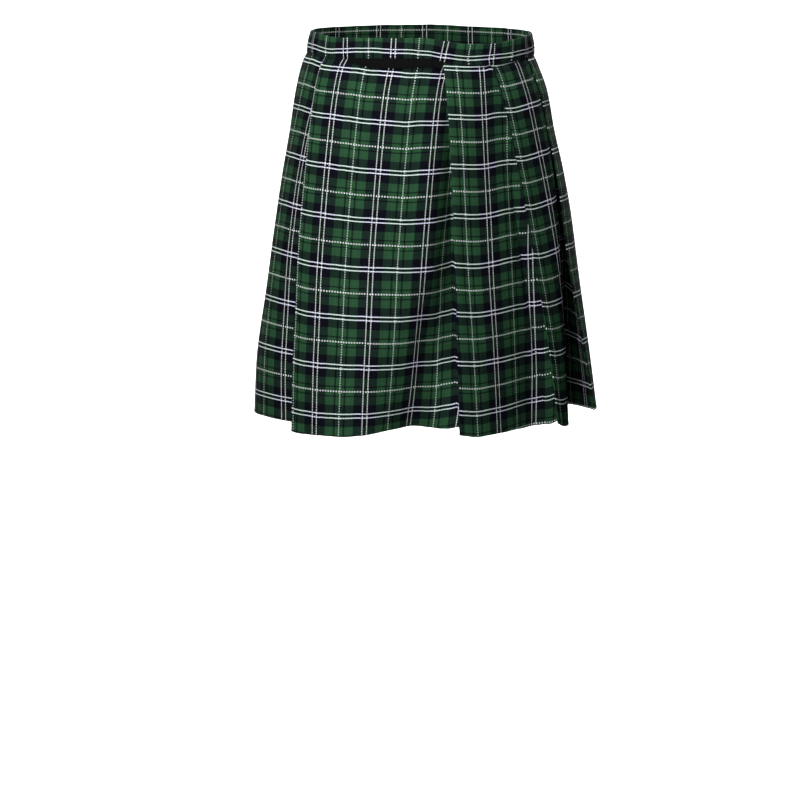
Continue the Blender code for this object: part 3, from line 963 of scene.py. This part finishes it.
def waistband(finish, thread):
    profile = band_profile()
    turn = np.linspace(-180, 180, BAND_COLUMNS + 1)
    base, top = np.array(SKIRT_FORM[0][1:]), np.array(BAND_TOP[1:])
    waver = waves(BAND_WAVER, turn)
    low = seam_height(turn) + BAND_FOOT_WAVER * waver
    high = edge_height(turn) + BAND_TOP_WAVER * waver
    surface = []
    for share, out in profile:
        section = Section(base + (top - base) * share)
        creased = BAND_CREASED + BAND_CREASED_MORE * math.sin(math.pi * share)
        out = out + creases_out(turn, 0) * creased
        plan = section.point(section.distance(turn), out)[0]
        surface.append(np.column_stack([plan, low + (high - low) * share]))
    surface = np.array(surface).transpose(1, 0, 2)[:, ::-1]
    run = distance_along(surface[:, len(profile) // 2])
    run -= np.interp(0, turn, run)
    down = distance_along(surface.transpose(1, 0, 2)).T
    crown = int(np.argmax(surface[0, :, 2]))
    below = down - down[:, crown : crown + 1]
    lean, double_down = read_table(BAND_LINES, turn).T[..., None]
    level = below - double_down
    u = (run[:, None] - BAND_DOUBLE_AROUND) * BAND_GATHER + lean * level / BAND_HEIGHT
    bend = np.exp(-(((turn - BAND_BEND_AT) / BAND_BEND_WIDE) ** 2))[:, None]
    u -= BAND_BEND * bend * eased(4 * below / BAND_HEIGHT - 3)
    v = level * np.where(level < 0, BAND_DRAWN_UP, 1) + FIRST_DOUBLE
    piece = shell("cloth_waistband", surface, np.stack([u, v], axis=2), SHELL, finish)
    dress(piece, TARTAN_SLOT, "waistband")
    stitches = foot_stitches(thicken(surface, SHELL)[0], thread)


# ---- The black tape

Tape = namedtuple("Tape", "around width")
TAPE = table(
    Tape,
    (-46, 2.5),
    (-36, 9.5),
    (-24, 12.5),
    (-12, 12),
    (0, 10),
    (12.6, 9),
)
TAPE_ABOVE_SEAM = 2.0
TAPE_OUT = 1.9  # from the form
TAPE_THICK = 0.7
TAPE_CURL = 0.35  # how far its middle stands out over its edges
TAPE_COLUMNS, TAPE_ROWS = 90, 13
TAPE_DEGREE = 2.6  # its length in a degree round
TAPE_WIDTH_WAVER = (Wave(0.45, 1.9, 0), Wave(0.3, 5.3, 0))  # in radians
TAPE_TOP_WAVER = (Wave(0.35, 1.3, 1), Wave(0.25, 4.1, 0))
TAPE_RIB, TAPE_WEFT = 0.0009, 0.0006  # in metres, from one to the next
TAPE_FUZZ_SCALE = 900.0
TAPE_SHADES = ((0.0008, 0.0008, 0.0010), (0.0035, 0.0032, 0.0036))


def tape(finish):
    around = np.linspace(TAPE[0].around, TAPE[-1].around, TAPE_COLUMNS)
    width = read_table(TAPE, around)[:, 0] + waves(TAPE_WIDTH_WAVER, around, 1)
    top = TAPE_ABOVE_SEAM + waves(TAPE_TOP_WAVER, around, 1)
    grid, cloth = [], []
    for share in np.linspace(0, 1, TAPE_ROWS):
        down = share * (width + top) - top
        column = []
        for angle, level in zip(around, down):
            section = section_at(round(max(level, 0), 1))
            curl = TAPE_CURL * math.sin(math.pi * share) + creases_out(angle, level)
            plan = section.point(section.distance(np.array([angle])), [TAPE_OUT + curl])[0]
            column.append([*plan[0], seam_height(angle) - level])
        grid.append(column)
        cloth.append(np.column_stack([around * TAPE_DEGREE, down]))
    surface = np.array(grid).transpose(1, 0, 2)
    cloth = np.array(cloth).transpose(1, 0, 2)
    piece = shell("cloth_tape", surface, cloth, TAPE_THICK, finish)
    dress(piece, TAPE_SLOT, "seam_tape")
    outer = thicken(surface, TAPE_THICK)[0]
    edges = np.concatenate([outer[:, 0], outer[:, -1]])
    fluff = loose_ends("tape_fluff", edges, TAPE_FLUFF, finish)
    wide = distance_along(surface.transpose(1, 0, 2))[-1]


# ---- Finishes


class Nodes:
    """Short ways to add shader nodes and join them."""

    def __init__(self, name):
        self.material = bpy.data.materials.new(name)
        self.material.use_nodes = True
        self.tree = self.material.node_tree
        self.shader = self.tree.nodes["Principled BSDF"]

    def put(self, socket, value):
        if isinstance(value, bpy.types.NodeSocket):
            self.tree.links.new(value, socket)
        else:
            socket.default_value = value

    def add(self, kind, **inputs):
        node = self.tree.nodes.new(kind)
        for key, value in inputs.items():
            self.put(node.inputs[key], value)
        return node

    def math(self, operation, *values):
        node = self.tree.nodes.new("ShaderNodeMath")
        node.operation = operation
        for socket, value in zip(node.inputs, values):
            self.put(socket, value)
        return node.outputs[0]

    def plus(self, first, second):
        return self.math("ADD", first, second)

    def times(self, first, second):
        return self.math("MULTIPLY", first, second)

    def mix(self, share, first, second):
        node = self.tree.nodes.new("ShaderNodeMix")
        node.data_type = "RGBA"
        self.put(node.inputs[0], share)
        for socket, value in zip(node.inputs[6:8], (first, second)):
            self.put(socket, value if isinstance(value, bpy.types.NodeSocket) else (*value, 1))
        return node.outputs[2]

    def scaled(self, colour, by):
        node = self.tree.nodes.new("ShaderNodeVectorMath")
        node.operation = "SCALE"
        self.put(node.inputs[0], colour)
        self.put(node.inputs["Scale"], by)
        return node.outputs[0]

    def ramp(self, share, stops):
        """Steps of colour: each stop is the end of its step, and a colour or a value."""
        node = self.tree.nodes.new("ShaderNodeValToRGB")
        ramp = node.color_ramp
        ramp.interpolation = "CONSTANT"
        starts = [0.0] + [end for end, _ in stops[:-1]]
        while len(ramp.elements) < len(stops):
            ramp.elements.new(1.0)
        for element, start, (_, colour) in zip(ramp.elements, starts, stops):
            element.position = start
            element.color = (*np.broadcast_to(colour, 3), 1)
        self.put(node.inputs[0], share)
        return node.outputs[0]

    def chance(self, number):
        """A value from 0 to 1 that is each number's own."""
        node = self.tree.nodes.new("ShaderNodeTexWhiteNoise")
        node.noise_dimensions = "1D"
        self.put(node.inputs["W"], number)
        return node.outputs[0]

    def noise(self, vector, scale):
        node = self.add("ShaderNodeTexNoise", Vector=vector, Scale=scale, Detail=2)
        return node.outputs[0]

    def cloth_place(self):
        """The cloth coordinates, and both parts of them: across and down."""
        uv = self.add("ShaderNodeUVMap")
        uv.uv_map = "cloth"
        parts = self.add("ShaderNodeSeparateXYZ", Vector=uv.outputs[0])
        return uv.outputs[0], parts.outputs[0], parts.outputs[1]

    def coloured(self, colour):
        self.put(self.shader.inputs["Base Color"], colour)

    def bumped(self, height, strength, distance):
        bump = self.add("ShaderNodeBump", Strength=strength, Distance=distance, Height=height)
        self.put(self.shader.inputs["Normal"], bump.outputs[0])

    def gloss(self, roughness, specular):
        self.shader.inputs["Roughness"].default_value = roughness
        self.shader.inputs["Specular IOR Level"].default_value = specular


def threads(n, coordinate, pitch, sett):
    """One set of threads: each one's number, the place across it, and a reader of its stripes."""
    place = n.math("DIVIDE", coordinate, pitch * MM)
    number = n.math("FLOOR", place)
    within = n.math("SUBTRACT", place, number)
    middle = n.times(n.plus(number, 0.5), pitch / sett)
    half = n.math("PINGPONG", middle, 0.5)
    return number, within, lambda key: n.ramp(half, [(s.to, getattr(s, key)) for s in STRIPES])


def tartan_finish():
    """Twill woven from two sets of coloured threads, two over and two under."""
    n = Nodes("tartan_cloth")
    place, across, down = n.cloth_place()
    down = n.math("SUBTRACT", down, FIRST_DOUBLE * MM)
    warp, warp_within, warp_stripe = threads(n, across, WARP_PITCH, SETT_ACROSS)
    weft, weft_within, weft_stripe = threads(n, down, WEFT_PITCH, SETT_DOWN)
    warp_colour = n.scaled(warp_stripe("colour"), weft_stripe("lets"))
    weft_colour = n.scaled(weft_stripe("colour"), warp_stripe("lets"))
    warp_white, weft_white = warp_stripe("white"), weft_stripe("white")

    def on_cycle(number, repeat, under):
        """1 where a number's place in its cycle is below `under`."""
        cycle = n.math("FLOORED_MODULO", number, float(repeat))
        return n.math("LESS_THAN", cycle, under - 0.5)

    def shown(white, least, where):
        return n.times(n.math("GREATER_THAN", white, least), where)

    # the plain weave, a level white line that passes over three upright threads of four, an
    # upright one as in the weave, and the dots where the white threads float
    diagonal = n.plus(warp, weft)
    warp_over = on_cycle(diagonal, TWILL_THREADS, 2)
    plain = n.mix(warp_over, weft_colour, warp_colour)
    solid_weft = shown(weft_white, SOLID, on_cycle(n.plus(diagonal, 1.0), TWILL_THREADS, 3))
    solid_warp = shown(warp_white, SOLID, warp_over)
    dots_weft = shown(weft_white, DOTTED, on_cycle(warp, DOT_WARPS, DOT_FLOAT))
    dots_warp = shown(warp_white, DOTTED, on_cycle(weft, DOT_WEFTS, DOT_FLOAT))
    lines = n.mix(solid_weft, n.mix(solid_warp, plain, WHITE_WARP), warp_stripe("tint"))
    woven = n.mix(n.math("MAXIMUM", dots_weft, dots_warp), lines, PALE)

    uneven = n.plus(n.times(n.chance(warp), WARP_UNEVEN), n.times(n.chance(weft), WEFT_UNEVEN))
    cloudy = n.times(n.noise(place, CLOUD_SCALE), CLOUDY)
    n.coloured(n.scaled(woven, n.plus(n.plus(uneven, cloudy), LEAST_LEVEL)))

    # rounded threads, the upper ones standing over the lower ones
    def crown(within):
        return n.math("SINE", n.times(within, math.pi))

    raised = n.mix(warp_over, crown(weft_within), crown(warp_within))
    fuzz = n.times(n.noise(place, FUZZ_SCALE), FUZZ)
    n.bumped(n.plus(raised, fuzz), strength=0.35, distance=0.00025)
    n.gloss(roughness=0.85, specular=0.04)
    return n.material


def tape_finish():
    """Ribbed woven tape."""
    n = Nodes("black_tape")
    place, across, down = n.cloth_place()
    rib = n.math("SINE", n.times(across, 2 * math.pi / TAPE_RIB))
    weft = n.math("SINE", n.times(down, 2 * math.pi / TAPE_WEFT))
    height = n.plus(n.times(rib, 0.5), n.times(weft, 0.5))
    fuzz = n.noise(place, TAPE_FUZZ_SCALE)
    n.coloured(n.mix(fuzz, *TAPE_SHADES))
    n.bumped(n.plus(height, fuzz), strength=0.5, distance=0.0002)
    n.gloss(roughness=0.85, specular=0.06)
    return n.material


def thread_finish(name, shades):
    """Twisted sewing thread, between its dark and its light colour: the twist paints shade into the
    grooves between its plies, and noise varies its tone.
    """
    n = Nodes(name)
    place, round_it, along = n.cloth_place()
    lay = n.plus(n.times(round_it, THREAD_PLIES / MM), n.times(along, THREAD_TURNS / MM))
    twist = n.math("SINE", n.times(lay, 2 * math.pi))
    # painted shade along the twist of the plies, with random tone from the noise
    shade = n.plus(n.times(twist, THREAD_TWIST_PAINTED_SHADE), n.noise(place, THREAD_FUZZ_SCALE))
    n.coloured(n.mix(shade, *shades))
    n.bumped(twist, strength=0.4, distance=0.0001)
    n.gloss(roughness=0.7, specular=0.15)
    return n.material


# ---- The studio, in metres

CAMERA_AT = (-0.033, -5.5, 0.05)
CAMERA_DOWN_DEG = 6.25
PHOTO_SIDE_PX = 800
FOCAL_PX = 3689
SENSOR_MM = 36.0
FLOOR_HEIGHT = -1.08  # the hem of a worn kilt is at the knee, so far above it
FLOOR_REACH = 3000
FLOOR_SHADES = ((0.89,) * 3, (0.90,) * 3)
FLOOR_CLOUD_SCALE = 3.0
FLOOR_GLOW = 0.8
SKY_STRENGTH = 0.98
LIT = (0.0, 0.0, -0.3)  # the lamps are turned to this point
Lamp = namedtuple("Lamp", "name strength soft_deg at")
LAMPS = (
    Lamp("key", 2.6, 16, (-1.97, -4.21, 9.67)),
    Lamp("fill", 0.35, 180, (0.0, -2.0, 1.0)),
    Lamp("back_left", 1.9, 40, (-2.1, 3.9, 1.8)),
    Lamp("back_right", 1.9, 40, (2.2, 3.8, 1.8)),
)
Softbox = namedtuple("Softbox", "power wide tall at")
SOFTBOX = Softbox(8.2, 0.4, 1.3, (-0.211, -0.788, 0.080))


def hang(light, at):
    """A lamp at its place, turned to the kilt."""
    made = placed(light.name, light)
    made.location = at
    made.rotation_mode = "QUATERNION"
    made.rotation_quaternion = (Vector(LIT) - Vector(at)).to_track_quat("-Z", "Y")
    return made


def front_camera():
    camera = bpy.data.cameras.new("camera")
    camera.sensor_width = SENSOR_MM
    camera.lens = SENSOR_MM * FOCAL_PX / PHOTO_SIDE_PX
    made = placed("camera", camera)
    made.location = CAMERA_AT
    made.rotation_euler = (math.radians(90 - CAMERA_DOWN_DEG), 0, 0)
    bpy.context.scene.camera = made


def sky():
    """It shows white, but the lamps alone light the cloth."""
    world = bpy.data.worlds.new("studio")
    world.use_nodes = True
    background = world.node_tree.nodes["Background"]
    background.inputs["Color"].default_value = (1, 1, 1, 1)
    background.inputs["Strength"].default_value = SKY_STRENGTH
    bpy.context.scene.world = world
    world.cycles_visibility.diffuse = False
    world.cycles_visibility.glossy = False


def lamps():
    for lamp in LAMPS:
        light = bpy.data.lights.new(lamp.name, "SUN")
        light.energy = lamp.strength
        light.angle = math.radians(lamp.soft_deg)
        hang(light, lamp.at)
    light = bpy.data.lights.new("softbox", "AREA")
    light.shape = "RECTANGLE"
    light.energy = SOFTBOX.power
    light.size, light.size_y = SOFTBOX.wide, SOFTBOX.tall
    hang(light, SOFTBOX.at).visible_camera = False


def pale_floor():
    """As the sky, it shows white and doesn't light the cloth."""
    n = Nodes("floor")
    place = n.add("ShaderNodeTexCoord").outputs["Object"]
    n.coloured(n.mix(n.noise(place, FLOOR_CLOUD_SCALE), *FLOOR_SHADES))
    n.gloss(roughness=0.9, specular=0.1)
    n.shader.inputs["Emission Color"].default_value = (1, 1, 1, 1)
    n.shader.inputs["Emission Strength"].default_value = FLOOR_GLOW
    corners = np.array([[-1, -1], [1, -1], [1, 1], [-1, 1]]) * FLOOR_REACH
    points = np.column_stack([corners, np.full(4, FLOOR_HEIGHT)]) / MM
    floor = mesh_object("floor", points, np.array([[0, 1, 2, 3]]), np.zeros((4, 2)), n.material)
    floor.visible_diffuse = False
    floor.visible_glossy = False


def studio():
    bpy.context.scene.view_settings.view_transform = "Standard"
    front_camera()
    sky()
    lamps()
    pale_floor()


def main():
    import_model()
    tartan = tartan_finish()
    thread = thread_finish("dark_thread", DARK_THREAD)
    skirt(tartan, thread, thread_finish("pale_thread", PALE_THREAD))
    waistband(tartan, thread)
    tape(tape_finish())
    studio()


main()
